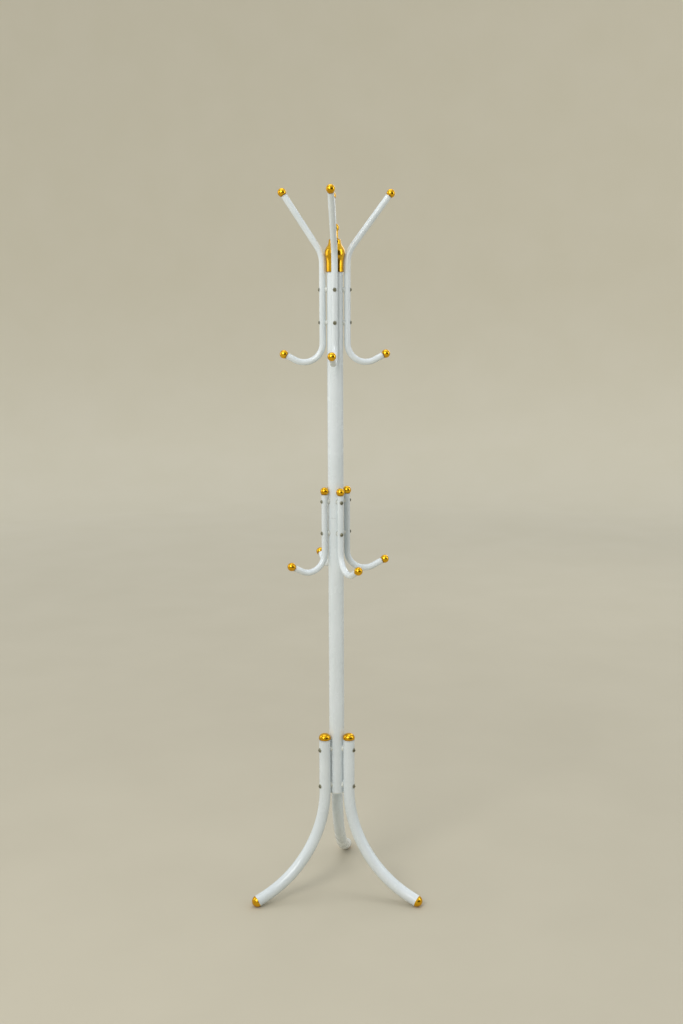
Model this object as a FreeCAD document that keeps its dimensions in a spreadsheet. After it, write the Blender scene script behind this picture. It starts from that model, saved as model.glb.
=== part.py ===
# Free-standing coat rack: a round pole on three bent legs, with four bent arms at the top, four J hooks
# at mid height, ball caps on every tube end and a turned finial on top.
# Millimetres. The origin is on the floor under the pole's axis and +Z is up. Bearings are degrees
# about +Z from +X.
import FreeCAD, Part
import Sketcher
import math
import os
import re

Vector = FreeCAD.Vector
Constraint = Sketcher.Constraint
UP = Vector(0, 0, 1)

doc = FreeCAD.newDocument("coat_rack")
sheet = doc.addObject("Spreadsheet::Sheet", "Dims")
sheet.Label = "Dims"

DIMENSIONS = [
    # Pole, in two halves with a sleeve inside the joint.
    ("pole_radius", 19.0),
    ("pole_wall", 1.2),
    ("pole_bottom", 263.5),
    ("pole_split", 969.0),
    ("pole_top", 1569.0),
    ("connector_wall", 1.5),
    ("connector_half_length", 80.0),
    ("slip_clearance", 0.05),
    ("edge_break", 0.6),
    # Plug in the pole's lower end.
    ("plug_flange", 2.2),
    ("plug_dome", 1.2),
    ("plug_length", 13.0),
    ("plug_wall", 2.0),
    ("plug_floor", 2.5),
    # Tubes of the arms and hooks, and of the legs.
    ("arm_radius", 7.5),
    ("arm_wall", 1.0),
    ("arm_gap", 3.0),
    ("leg_radius", 14.3),
    ("leg_wall", 1.2),
    ("leg_gap", 1.5),
    # Top arm: an upswept upper end and a J hook at the lower end.
    ("sweep_start", 1575.0),
    ("sweep_radius", 70.0),
    ("sweep_tail", 148.2),
    ("sweep_turn_left", 33.3),
    ("sweep_turn_front", 37.8),
    ("sweep_turn_right", 36.9),
    ("sweep_turn_rear", 31.5),
    ("hook_radius", 44.5),
    ("hook_turn", 117.4),
    ("arm_hook_reach", 92.3),
    ("arm_hook_height", 1364.0),
    # Middle hook: a straight upper end and the same J hook.
    ("mid_top_height", 1034.4),
    ("mid_hook_reach", 94.2),
    ("mid_hook_height", 859.2),
    # Leg: straight beside the pole, then one long bend outwards.
    ("leg_top_height", 407.5),
    ("leg_bend_radius", 270.0),
    ("leg_turn", 68.3),
    ("leg_reach", 188.8),
    ("foot_height", 13.7),
    # Caps.
    ("ball_radius", 10.25),
    ("cap_clearance", 0.03),
    ("ball_spigot", 13.0),
    ("leg_spigot", 15.0),
    ("spigot_wall", 1.6),
    ("shell_wall", 2.0),
    # Finial, outside profile from the skirt up to the knob.
    ("finial_skirt_bottom", 1555.5),
    ("finial_skirt_radius", 21.2),
    ("finial_skirt_top", 1573.0),
    ("finial_flare_share", 0.75),
    ("finial_bulge_radius", 24.3),
    ("finial_bulge_height", 1598.5),
    ("finial_shoulder_radius", 19.0),
    ("finial_shoulder_height", 1614.3),
    ("finial_neck_radius", 14.6),
    ("finial_neck_height", 1626.5),
    ("finial_collar_radius", 9.8),
    ("finial_collar_height", 1632.0),
    ("finial_stem_radius", 8.0),
    ("finial_stem_low", 1637.5),
    ("knob_radius", 10.6),
    ("knob_height", 1656.8),
    ("finial_hollow_radius", 16.5),
    ("finial_hollow_height", 1612.0),
    ("finial_core_radius", 9.0),
    ("finial_core_height", 1625.0),
    ("finial_collar_bend", 5.2),
    ("finial_throat_bend", 16.0),
    # Bolts, spacers and insert nuts of the arms and hooks, then of the legs.
    ("arm_bolt_radius", 2.5),
    ("arm_bolt_length", 25.0),
    ("arm_head_radius", 4.2),
    ("arm_head_height", 2.6),
    ("arm_hole_radius", 2.75),
    ("arm_socket", 3.0),
    ("arm_spacer_radius", 6.0),
    ("arm_neck_radius", 3.5),
    ("arm_nut_radius", 5.0),
    ("arm_nut_length", 5.0),
    ("leg_bolt_radius", 3.0),
    ("leg_bolt_length", 40.0),
    ("leg_head_radius", 5.0),
    ("leg_head_height", 3.1),
    ("leg_hole_radius", 3.3),
    ("leg_socket", 4.0),
    ("leg_spacer_radius", 8.0),
    ("leg_neck_radius", 4.2),
    ("leg_nut_radius", 5.6),
    ("leg_nut_length", 6.0),
    ("head_rim", 0.5),
    ("head_flat", 0.5),
    ("head_crown", 1.2),
    ("socket_floor", 0.35),
    ("socket_cutter", 4.0),
    ("spacer_inner_lap", 3.0),
    ("spacer_outer_lap", 1.6),
    ("drill_length", 90.0),
    ("thread_clearance", 0.04),
    ("seat_clearance", 0.02),
    # Heights of the bolts.
    ("top_bolt_high", 1514.5),
    ("top_bolt_low", 1438.0),
    ("mid_bolt_high", 1009.5),
    ("mid_bolt_low", 931.5),
    ("leg_bolt_high", 379.5),
    ("leg_bolt_low", 284.0),
]

# Bearing of the drilled holes about the pole, and heading of the bend plane, which the assembler set
# by eye: the tubes turn a little about their own axes before the bolts are tight.
TOP_ARMS = {
    "left": (179.0, -178.8),
    "front": (-91.0, -94.5),
    "right": (-1.0, 7.3),
    "rear": (89.0, 94.5),
}
MID_HOOKS = {
    "left": (-157.8, -147.5),
    "front": (-67.8, -63.8),
    "right": (22.2, 8.8),
    "rear": (112.2, 107.7),
}
LEGS = {
    "left": (-150.0, -153.8),
    "right": (-30.0, -27.4),
    "rear": (90.0, 82.4),
}

size = {}
for number, (alias, value) in enumerate(DIMENSIONS, start=1):
    sheet.set("A%d" % number, alias)
    sheet.set("B%d" % number, repr(value))
    sheet.setAlias("B%d" % number, alias)
    size[alias] = value
doc.recompute()

exports = []


def value_of(expression):
    """Return the number that a spreadsheet expression stands for."""
    return float(sheet.evalExpression(expression))


def bound(text):
    """Turn bare alias names in a formula into references to the sheet."""
    return re.sub(r"[a-z_]+", lambda word: "Dims." + word[0] if word[0] in size else word[0], text)


def name_for_export(item, node):
    """Give a finished object its node name and put it on the export list."""
    item.Label = node
    exports.append((node, item))
    return item


def new_body(name):
    return doc.addObject("PartDesign::Body", name)


def new_sketch(body, name, role, offset=None):
    """Add a sketch on one of the body's origin planes, raised by a sheet formula if one is given."""
    sketch = body.newObject("Sketcher::SketchObject", name)
    plane = [item for item in body.Origin.OriginFeatures if item.Role == role][0]
    sketch.AttachmentSupport = [(plane, "")]
    sketch.MapMode = "FlatFace"
    if offset is not None:
        sketch.setExpression(".AttachmentOffset.Base.z", bound(offset))
    return sketch


def constrain(sketch, label, formula, *arguments):
    """Add a dimension whose value follows a sheet formula."""
    kind = arguments[0]
    places = arguments[1:]
    index = sketch.addConstraint(Constraint(kind, *places, value_of(bound(formula))))
    sketch.renameConstraint(index, label)
    sketch.setExpression("Constraints." + label, bound(formula))


def add_circle(sketch, label, radius, centre_y=None):
    """Add a circle centred on the sketch's vertical axis, at the origin unless a height is given."""
    height = 0.0 if centre_y is None else value_of(bound(centre_y))
    index = sketch.addGeometry(Part.Circle(Vector(0, height, 0), UP, value_of(bound(radius))))
    constrain(sketch, label + "_radius", radius, "Radius", index)
    if centre_y is None:
        sketch.addConstraint(Constraint("Coincident", index, 3, -1, 1))
        return
    sketch.addConstraint(Constraint("PointOnObject", index, 3, -2))
    if height < 0:
        constrain(sketch, label + "_height", "0 - " + "( " + centre_y + " )", "DistanceY", index, 3, -1, 1)
    else:
        constrain(sketch, label + "_height", centre_y, "DistanceY", -1, 1, index, 3)


def arc_between(start, end, radius):
    """Arc from start to end; a positive radius bulges to the right of the direction of travel."""
    chord = end - start
    middle = (start + end) * 0.5
    normal = Vector(-chord.y, chord.x, 0)
    normal.normalize()
    side = math.copysign(math.sqrt(radius * radius - chord.Length ** 2 / 4), radius)
    centre = middle + normal * side
    first = math.atan2(start.y - centre.y, start.x - centre.x)
    last = math.atan2(end.y - centre.y, end.x - centre.x)
    circle = Part.Circle(centre, UP, abs(radius))
    if radius > 0:
        return Part.ArcOfCircle(circle, first, last), 1, 2
    return Part.ArcOfCircle(circle, last, first), 2, 1


def draw_chain(sketch, corners, arcs, closed):
    """Draw lines and arcs through corners given as (across, up) formulas.

    arcs maps a corner's number to the radius formula of the arc that leaves it, with "in " in front
    when the arc is hollow; the other sides are straight.
    """
    points = [Vector(value_of(bound(x)), value_of(bound(y)), 0) for x, y in corners]
    sides = len(points) if closed else len(points) - 1
    ends = []
    for number in range(sides):
        start = points[number]
        end = points[(number + 1) % len(points)]
        first = 1
        last = 2
        if number in arcs:
            formula = arcs[number]
            hollow = formula.startswith("in ")
            formula = formula[3:] if hollow else formula
            radius = value_of(bound(formula))
            shape, first, last = arc_between(start, end, -radius if hollow else radius)
            index = sketch.addGeometry(shape)
            constrain(sketch, "bend_%d" % number, formula, "Radius", index)
        else:
            index = sketch.addGeometry(Part.LineSegment(start, end))
        ends.append((index, first, last))
    for number in range(sides - 1):
        after = ends[number + 1]
        sketch.addConstraint(Constraint("Coincident", ends[number][0], ends[number][2], after[0], after[1]))
    if closed:
        sketch.addConstraint(Constraint("Coincident", ends[-1][0], ends[-1][2], ends[0][0], ends[0][1]))
    places = [(index, first) for index, first, last in ends]
    if not closed:
        places.append((ends[-1][0], ends[-1][2]))
    for number, (index, position) in enumerate(places):
        x, y = corners[number]
        if abs(points[number].x) < 1e-9:
            sketch.addConstraint(Constraint("PointOnObject", index, position, -2))
        else:
            constrain(sketch, "across_%d" % number, x, "DistanceX", -1, 1, index, position)
        if abs(points[number].y) < 1e-9:
            sketch.addConstraint(Constraint("PointOnObject", index, position, -1))
        elif points[number].y > 0:
            constrain(sketch, "up_%d" % number, y, "DistanceY", -1, 1, index, position)
        else:
            constrain(sketch, "up_%d" % number, "0 - ( " + y + " )", "DistanceY", index, position, -1, 1)


def revolve(body, sketch):
    """Turn a profile drawn on the XZ plane once round the body's Z axis."""
    turned = body.newObject("PartDesign::Revolution", body.Name + "_turned")
    turned.Profile = sketch
    turned.ReferenceAxis = (sketch, ["V_Axis"])
    turned.Angle = 360.0
    doc.recompute()
    return turned


def pad(body, sketch, length):
    raised = body.newObject("PartDesign::Pad", body.Name + "_pad")
    raised.Profile = sketch
    raised.setExpression("Length", bound(length))
    doc.recompute()
    return raised


def radial_rotation(bearing):
    """Rotation that sends local +Z outwards along a bearing and local +Y straight up."""
    angle = math.radians(bearing)
    outwards = Vector(math.cos(angle), math.sin(angle), 0)
    sideways = Vector(-math.sin(angle), math.cos(angle), 0)
    return FreeCAD.Rotation(sideways, UP, outwards, "ZYX")


def radial_placement(bearing, radius, height):
    angle = math.radians(bearing)
    base = Vector(radius * math.cos(angle), radius * math.sin(angle), height)
    return FreeCAD.Placement(base, radial_rotation(bearing))


def group_of(name, members):
    """Collect separate solids in one compound."""
    group = doc.addObject("Part::Compound", name)
    group.Links = members
    return group


def drill(name, base, cutters):
    """Cut a set of radial drill cylinders out of a piece."""
    tool = group_of(name + "_drills", cutters)
    cut = doc.addObject("Part::Cut", name + "_drilled")
    cut.Base = base
    cut.Tool = tool
    return cut


def drill_cylinder(name, radius, bearing, height):
    """A radial cylinder from the pole's axis out past the farthest tube."""
    cylinder = doc.addObject("Part::Cylinder", name)
    cylinder.setExpression("Radius", bound(radius))
    cylinder.setExpression("Height", bound("drill_length"))
    cylinder.Placement = radial_placement(bearing, 0.0, 0.0)
    cylinder.setExpression(".Placement.Base.z", bound(height))
    return cylinder


# Pole halves, sleeve and end plug ---------------------------------------------------------------

def ring_piece(name, low, high, outer, inner):
    """A plain length of round tube between two heights."""
    body = new_body(name)
    sketch = new_sketch(body, name + "_section", "XY_Plane", low)
    add_circle(sketch, "outer", outer)
    add_circle(sketch, "inner", inner)
    pad(body, sketch, high + " - ( " + low + " )")
    return body


def drills_for(name, radius, bearings, heights):
    cutters = []
    for place, (bearing, heading) in bearings.items():
        for height in heights:
            cutters.append(drill_cylinder("%s_%s_%s" % (name, place, height), radius, bearing, height))
    return cutters


POLE_BORE = "pole_radius - pole_wall"
ARM_NECK_HOLE = "arm_neck_radius + slip_clearance"
LEG_NECK_HOLE = "leg_neck_radius + slip_clearance"

lower_tube = ring_piece("lower_pole_tube", "pole_bottom", "pole_split", "pole_radius", POLE_BORE)
lower_drills = drills_for("lower_leg_drill", LEG_NECK_HOLE, LEGS, ["leg_bolt_high", "leg_bolt_low"])
lower_drills += drills_for("lower_hook_drill", ARM_NECK_HOLE, MID_HOOKS, ["mid_bolt_low"])
name_for_export(drill("lower_pole", lower_tube, lower_drills), "lower_pole")

upper_tube = ring_piece("upper_pole_tube", "pole_split", "pole_top", "pole_radius", POLE_BORE)
upper_drills = drills_for("upper_hook_drill", ARM_NECK_HOLE, MID_HOOKS, ["mid_bolt_high"])
upper_drills += drills_for("upper_arm_drill", ARM_NECK_HOLE, TOP_ARMS, ["top_bolt_high", "top_bolt_low"])
name_for_export(drill("upper_pole", upper_tube, upper_drills), "upper_pole")

SLEEVE_OUTER = "pole_radius - pole_wall - slip_clearance"
SLEEVE_INNER = "pole_radius - pole_wall - slip_clearance - connector_wall"
sleeve = ring_piece("connector_tube", "pole_split - connector_half_length",
                    "pole_split + connector_half_length", SLEEVE_OUTER, SLEEVE_INNER)
sleeve_drills = drills_for("sleeve_drill", ARM_NECK_HOLE, MID_HOOKS, ["mid_bolt_high", "mid_bolt_low"])
name_for_export(drill("pole_connector", sleeve, sleeve_drills), "pole_connector")

plug = new_body("plug_body")
plug_profile = new_sketch(plug, "plug_profile", "XZ_Plane")
draw_chain(plug_profile, [
    ("0", "pole_bottom - plug_flange - plug_dome"),
    ("pole_radius - edge_break", "pole_bottom - plug_flange"),
    ("pole_radius", "pole_bottom - plug_flange + edge_break"),
    ("pole_radius", "pole_bottom"),
    (SLEEVE_OUTER, "pole_bottom"),
    (SLEEVE_OUTER, "pole_bottom + plug_length - edge_break"),
    (SLEEVE_OUTER + " - edge_break", "pole_bottom + plug_length"),
    (SLEEVE_OUTER + " - plug_wall", "pole_bottom + plug_length"),
    (SLEEVE_OUTER + " - plug_wall", "pole_bottom - plug_flange + plug_floor"),
    ("0", "pole_bottom - plug_flange + plug_floor"),
], {}, True)
revolve(plug, plug_profile)
name_for_export(plug, "pole_end_plug")

# Finial: a sleeve over the pole's top, a flared shoulder, a hollow neck and a knob ----------------

# The flare and the bulge meet tangent to each other and are upright at the skirt and at the widest
# point; the shoulder falls from there and runs smoothly into the hollow neck.
FLARE_RISE = "( finial_bulge_height - finial_skirt_top )"
FLARE_GROWTH = "( finial_bulge_radius - finial_skirt_radius )"
FLARE_LEAN = "atan( " + FLARE_GROWTH + " / " + FLARE_RISE + " )"
SHOULDER_RISE = "( finial_shoulder_height - finial_bulge_height )"
SHOULDER_LEAN = "atan( ( finial_bulge_radius - finial_shoulder_radius ) / " + SHOULDER_RISE + " )"
NECK_RISE = "( finial_neck_height - finial_shoulder_height )"
NECK_LEAN = "atan( ( finial_shoulder_radius - finial_neck_radius ) / " + NECK_RISE + " )"
NECK_HALF = "( 2 * " + SHOULDER_LEAN + " - " + NECK_LEAN + " )"

finial = new_body("finial_body")
finial_profile = new_sketch(finial, "finial_profile", "XZ_Plane")
draw_chain(finial_profile, [
    ("finial_skirt_radius", "finial_skirt_bottom"),
    ("finial_skirt_radius", "finial_skirt_top"),
    ("finial_skirt_radius + finial_flare_share * " + FLARE_GROWTH,
     "finial_skirt_top + finial_flare_share * " + FLARE_RISE),
    ("finial_bulge_radius", "finial_bulge_height"),
    ("finial_shoulder_radius", "finial_shoulder_height"),
    ("finial_neck_radius", "finial_neck_height"),
    ("finial_collar_radius", "finial_collar_height"),
    ("finial_stem_radius", "finial_stem_low"),
    ("finial_stem_radius", "knob_height - sqrt( knob_radius ^ 2 - finial_stem_radius ^ 2 )"),
    ("0", "knob_height + knob_radius"),
    ("0", "finial_core_height"),
    ("finial_core_radius", "finial_core_height"),
    ("finial_hollow_radius", "finial_hollow_height"),
    ("finial_hollow_radius", "pole_top + seat_clearance"),
    ("pole_radius + slip_clearance", "pole_top + seat_clearance"),
    ("pole_radius + slip_clearance", "finial_skirt_bottom"),
], {
    1: "in finial_flare_share * " + FLARE_RISE + " / sin( 2 * " + FLARE_LEAN + " )",
    2: "( 1 - finial_flare_share ) * " + FLARE_RISE + " / sin( 2 * " + FLARE_LEAN + " )",
    3: SHOULDER_RISE + " / sin( 2 * " + SHOULDER_LEAN + " )",
    4: "in " + NECK_RISE + " / ( 2 * cos( " + NECK_LEAN + " ) * sin( " + NECK_HALF + " ) )",
    5: "finial_collar_bend",
    6: "in finial_throat_bend",
    8: "knob_radius",
}, True)
revolve(finial, finial_profile)
name_for_export(finial, "finial")

# Bent tubes and their caps ------------------------------------------------------------------------

# A ball's centre stands this far beyond the tube's end. The two cavities are spheres that end where
# they meet the spigot's bore.
BALL_OFFSET = "sqrt( ball_radius ^ 2 - arm_radius ^ 2 )"
ARM_PLUG = "arm_radius - arm_wall - cap_clearance"
LEG_PLUG = "leg_radius - leg_wall - cap_clearance"
BALL_CAVITY = "sqrt( ( ball_radius - shell_wall ) ^ 2 - ( %s - spigot_wall ) ^ 2 )" % ARM_PLUG
LEG_CAVITY = "sqrt( ( leg_radius - shell_wall ) ^ 2 - ( %s - spigot_wall ) ^ 2 )" % LEG_PLUG


def bent_tube(name, corners, arcs, radius, wall):
    """Sweep a ring along a chain of lines and arcs drawn in the XZ plane."""
    body = new_body(name)
    path = new_sketch(body, name + "_path", "XZ_Plane")
    draw_chain(path, corners, arcs, False)
    section = body.newObject("Sketcher::SketchObject", name + "_section")
    section.AttachmentSupport = [(path, "Edge1")]
    section.MapMode = "NormalToEdge"
    section.MapPathParameter = 0.0
    add_circle(section, "outer", radius)
    add_circle(section, "inner", radius + " - " + wall)
    doc.recompute()
    pipe = body.newObject("PartDesign::AdditivePipe", name + "_pipe")
    pipe.Profile = section
    pipe.Spine = (path, ["Edge%d" % number for number in range(1, len(corners))])
    doc.recompute()
    return body


def tube_placement(offset, bearing, heading):
    """Stand a tube beside the pole at a bearing, with its bend plane turned to a heading."""
    angle = math.radians(bearing)
    base = Vector(offset * math.cos(angle), offset * math.sin(angle), 0)
    return FreeCAD.Placement(base, FreeCAD.Rotation(UP, heading))


def end_placement(stand, across, up, tilt):
    """Placement of a cap whose local +Z leaves a tube's end, tilted from straight up."""
    lean = FreeCAD.Rotation(Vector(0, 1, 0), tilt)
    return stand.multiply(FreeCAD.Placement(Vector(across, 0, up), lean))


def ball_cap(name, placement):
    """Ball cut flat to the tube's end, with a hollow spigot that plugs into the tube."""
    body = new_body(name + "_body")
    profile = new_sketch(body, name + "_profile", "XZ_Plane")
    draw_chain(profile, [
        (ARM_PLUG + " - spigot_wall", "0 - ball_spigot"),
        (ARM_PLUG + " - edge_break", "0 - ball_spigot"),
        (ARM_PLUG, "edge_break - ball_spigot"),
        (ARM_PLUG, "0"),
        ("arm_radius", "0"),
        ("0", "ball_radius + " + BALL_OFFSET),
        ("0", "ball_radius - shell_wall + " + BALL_OFFSET),
        (ARM_PLUG + " - spigot_wall", BALL_OFFSET + " - " + BALL_CAVITY),
    ], {4: "ball_radius", 6: "in ball_radius - shell_wall"}, True)
    revolve(body, profile)
    body.Placement = placement
    return name_for_export(body, name)


def dome_cap_body(name):
    """Hemisphere the size of the leg's tube, with a hollow spigot that plugs into the leg."""
    body = new_body(name + "_body")
    profile = new_sketch(body, name + "_profile", "XZ_Plane")
    draw_chain(profile, [
        (LEG_PLUG + " - spigot_wall", "0 - leg_spigot"),
        (LEG_PLUG + " - edge_break", "0 - leg_spigot"),
        (LEG_PLUG, "edge_break - leg_spigot"),
        (LEG_PLUG, "0"),
        ("leg_radius", "0"),
        ("0", "leg_radius"),
        ("0", "leg_radius - shell_wall"),
        (LEG_PLUG + " - spigot_wall", LEG_CAVITY),
    ], {4: "leg_radius", 6: "in leg_radius - shell_wall"}, True)
    revolve(body, profile)
    return body


ARM_STAND = value_of(bound("pole_radius + arm_gap + arm_radius"))
LEG_STAND = value_of(bound("pole_radius + leg_gap + leg_radius"))
ball_offset = value_of(bound(BALL_OFFSET))


def tail_of(reach, bend, turn):
    """Straight length between a bend and the end point, as a formula."""
    return "( ( %s - %s * ( 1 - cos( %s ) ) ) / sin( %s ) )" % (reach, bend, turn, turn)


HOOK_START = "( %s + hook_radius * sin( hook_turn ) + %s * cos( hook_turn ) )"


def hook_corners(reach, height):
    """The J hook's bend start, bend end and tube end."""
    start = HOOK_START % (height, tail_of(reach, "hook_radius", "hook_turn"))
    return [
        ("0", start),
        ("hook_radius * ( 1 - cos( hook_turn ) )", start + " - hook_radius * sin( hook_turn )"),
        (reach + " - " + BALL_OFFSET + " * sin( hook_turn )",
         height + " + " + BALL_OFFSET + " * cos( hook_turn )"),
    ]


def arm_corners(turn):
    """Path of a top arm: upswept end, bend, straight run beside the pole and J hook."""
    run = "( sweep_tail - " + BALL_OFFSET + " )"
    bend_across = "sweep_radius * ( 1 - cos( %s ) )" % turn
    bend_up = "sweep_start + sweep_radius * sin( %s )" % turn
    return [
        ("%s + %s * sin( %s )" % (bend_across, run, turn), "%s + %s * cos( %s )" % (bend_up, run, turn)),
        (bend_across, bend_up),
        ("0", "sweep_start"),
    ] + hook_corners("arm_hook_reach", "arm_hook_height")


hook_tilt = 180.0 - size["hook_turn"]
leg_tilt = 180.0 - size["leg_turn"]


def cap_spot(reach, height, tilt):
    """Where a ball cap's flat face sits: back from the ball's centre along the tube's end."""
    lean = math.radians(tilt)
    return reach - ball_offset * math.sin(lean), height - ball_offset * math.cos(lean)


for place, (bearing, heading) in TOP_ARMS.items():
    node = "top_arm_" + place
    corners = arm_corners("sweep_turn_" + place)
    bends = {1: "sweep_radius", 3: "hook_radius"}
    tube = bent_tube(node + "_tube", corners, bends, "arm_radius", "arm_wall")
    stand = tube_placement(ARM_STAND, bearing, heading)
    tube.Placement = stand
    holes = drills_for(node + "_drill", "arm_hole_radius", {place: (bearing, heading)},
                       ["top_bolt_high", "top_bolt_low"])
    name_for_export(drill(node, tube, holes), node)
    across = value_of(bound(corners[0][0]))
    up = value_of(bound(corners[0][1]))
    ball_cap("cap_" + node + "_upper", end_placement(stand, across, up, size["sweep_turn_" + place]))
    across, up = cap_spot(size["arm_hook_reach"], size["arm_hook_height"], hook_tilt)
    ball_cap("cap_" + node + "_hook", end_placement(stand, across, up, hook_tilt))

mid_corners = [("0", "mid_top_height - " + BALL_OFFSET)] + hook_corners("mid_hook_reach", "mid_hook_height")
for place, (bearing, heading) in MID_HOOKS.items():
    node = "mid_hook_" + place
    tube = bent_tube(node + "_tube", mid_corners, {1: "hook_radius"}, "arm_radius", "arm_wall")
    stand = tube_placement(ARM_STAND, bearing, heading)
    tube.Placement = stand
    holes = drills_for(node + "_drill", "arm_hole_radius", {place: (bearing, heading)},
                       ["mid_bolt_high", "mid_bolt_low"])
    name_for_export(drill(node, tube, holes), node)
    across, up = cap_spot(0.0, size["mid_top_height"], 0.0)
    ball_cap("cap_" + node + "_top", end_placement(stand, across, up, 0.0))
    across, up = cap_spot(size["mid_hook_reach"], size["mid_hook_height"], hook_tilt)
    ball_cap("cap_" + node + "_tip", end_placement(stand, across, up, hook_tilt))

LEG_TAIL = tail_of("leg_reach", "leg_bend_radius", "leg_turn")
LEG_START = "( foot_height + leg_bend_radius * sin( leg_turn ) + %s * cos( leg_turn ) )" % LEG_TAIL
leg_corners = [
    ("0", "leg_top_height"),
    ("0", LEG_START),
    ("leg_bend_radius * ( 1 - cos( leg_turn ) )", LEG_START + " - leg_bend_radius * sin( leg_turn )"),
    ("leg_reach", "foot_height"),
]
for place, (bearing, heading) in LEGS.items():
    node = "leg_" + place
    tube = bent_tube(node + "_tube", leg_corners, {1: "leg_bend_radius"}, "leg_radius", "leg_wall")
    stand = tube_placement(LEG_STAND, bearing, heading)
    tube.Placement = stand
    holes = drills_for(node + "_drill", "leg_hole_radius", {place: (bearing, heading)},
                       ["leg_bolt_high", "leg_bolt_low"])
    name_for_export(drill(node, tube, holes), node)
    cap = dome_cap_body("cap_" + node)
    cap.Placement = end_placement(stand, 0.0, size["leg_top_height"], 0.0)
    name_for_export(cap, "cap_" + node)
    # The foot is the same cap, ground flat where it meets the floor.
    foot = dome_cap_body("foot_" + place)
    foot.Placement = end_placement(stand, size["leg_reach"], size["foot_height"], leg_tilt)
    floor = doc.addObject("Part::Cylinder", "foot_%s_floor" % place)
    floor.setExpression("Radius", bound("leg_radius * 2"))
    floor.setExpression("Height", bound("leg_radius"))
    centre = foot.Placement.Base
    floor.Placement.Base = Vector(centre.x, centre.y, -size["leg_radius"])
    ground = doc.addObject("Part::Cut", "foot_%s_ground" % place)
    ground.Base = foot
    ground.Tool = floor
    name_for_export(ground, "foot_" + place)

# Bolts, spacers and insert nuts -------------------------------------------------------------------


def bolt(name, kind, stand, bearing, height):
    """Button-head screw with a hexagon socket; its seat is local z = 0."""
    body = new_body(name + "_body")
    profile = new_sketch(body, name + "_profile", "XZ_Plane")
    shank = kind + "_bolt_radius"
    draw_chain(profile, [
        ("0", "0 - %s_bolt_length" % kind),
        (shank + " - edge_break", "0 - %s_bolt_length" % kind),
        (shank, "edge_break - %s_bolt_length" % kind),
        (shank, "0"),
        (kind + "_head_radius", "0"),
        (kind + "_head_radius", "head_rim"),
        (kind + "_head_radius * head_flat", kind + "_head_height"),
        ("0", kind + "_head_height"),
    ], {5: kind + "_head_radius * head_crown"}, True)
    revolve(body, profile)
    body.Placement = radial_placement(bearing, stand, height)
    socket = doc.addObject("Part::Prism", name + "_socket")
    socket.Polygon = 6
    socket.setExpression("Circumradius", bound("%s_socket / sqrt( 3 )" % kind))
    socket.setExpression("Height", bound("socket_cutter"))
    depth = value_of(bound(kind + "_head_height * socket_floor"))
    socket.Placement = radial_placement(bearing, stand + depth, height)
    screw = doc.addObject("Part::Cut", name)
    screw.Base = body
    screw.Tool = socket
    return screw


def spacer(name, kind, bearing, height):
    """Round washer hollowed to the pole on its inner face and to the tube on its outer face."""
    body = new_body(name)
    disc = new_sketch(body, name + "_disc", "XY_Plane", "pole_radius - spacer_inner_lap")
    add_circle(disc, "outer", kind + "_spacer_radius")
    add_circle(disc, "hole", kind + "_hole_radius")
    pad(body, disc, kind + "_gap + spacer_inner_lap + spacer_outer_lap")
    saddles = new_sketch(body, name + "_saddles", "XZ_Plane")
    add_circle(saddles, "pole", "pole_radius + seat_clearance")
    add_circle(saddles, "tube", "%s_radius + seat_clearance" % kind,
               "pole_radius + %s_gap + %s_radius" % (kind, kind))
    cut = body.newObject("PartDesign::Pocket", name + "_hollow")
    cut.Profile = saddles
    cut.Type = 1
    cut.SideType = 2
    doc.recompute()
    body.Placement = radial_placement(bearing, 0.0, height)
    return body


def insert_nut(name, kind, wall_radius, bearing, height):
    """Round nut inside the pole with a neck that fills the hole in the pole's wall."""
    body = new_body(name)
    profile = new_sketch(body, name + "_profile", "XZ_Plane")
    bore = kind + "_bolt_radius + thread_clearance"
    nut = kind + "_nut_radius"
    neck = kind + "_neck_radius"
    seat = "sqrt( ( %s ) ^ 2 - %s ^ 2 ) - seat_clearance" % (wall_radius, nut)
    mouth = "sqrt( pole_radius ^ 2 - %s ^ 2 ) - seat_clearance" % neck
    draw_chain(profile, [
        (bore, seat + " - %s_nut_length" % kind),
        (nut + " - edge_break", seat + " - %s_nut_length" % kind),
        (nut, seat + " - %s_nut_length + edge_break" % kind),
        (nut, seat),
        (neck, seat),
        (neck, mouth),
        (bore, mouth),
    ], {}, True)
    revolve(body, profile)
    body.Placement = radial_placement(bearing, 0.0, height)
    return body


FASTENED = [
    ("top_arm", "arm", TOP_ARMS, ["top_bolt_high", "top_bolt_low"], POLE_BORE),
    ("mid_hook", "arm", MID_HOOKS, ["mid_bolt_high", "mid_bolt_low"], SLEEVE_INNER),
    ("leg", "leg", LEGS, ["leg_bolt_high", "leg_bolt_low"], POLE_BORE),
]
for family, kind, bearings, heights, bore_radius in FASTENED:
    bolts = []
    spacers = []
    nuts = []
    tube_radius = size[kind + "_radius"]
    seat_radius = size["pole_radius"] + size[kind + "_gap"] + 2.0 * tube_radius + size["seat_clearance"]
    for place, (bearing, heading) in bearings.items():
        for height in heights:
            spot = "%s_%s_%s" % (family, place, height)
            level = size[height]
            bolts.append(bolt(spot + "_screw", kind, seat_radius, bearing, level))
            spacers.append(spacer(spot + "_spacer", kind, bearing, level))
            nuts.append(insert_nut(spot + "_nut", kind, bore_radius, bearing, level))
    name_for_export(group_of(family + "_bolt_set", bolts), family + "_bolts")
    name_for_export(group_of(family + "_spacer_set", spacers), family + "_spacers")
    name_for_export(group_of(family + "_nut_set", nuts), family + "_nuts")

# Check every object, then write one STEP file per node --------------------------------------------

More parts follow.
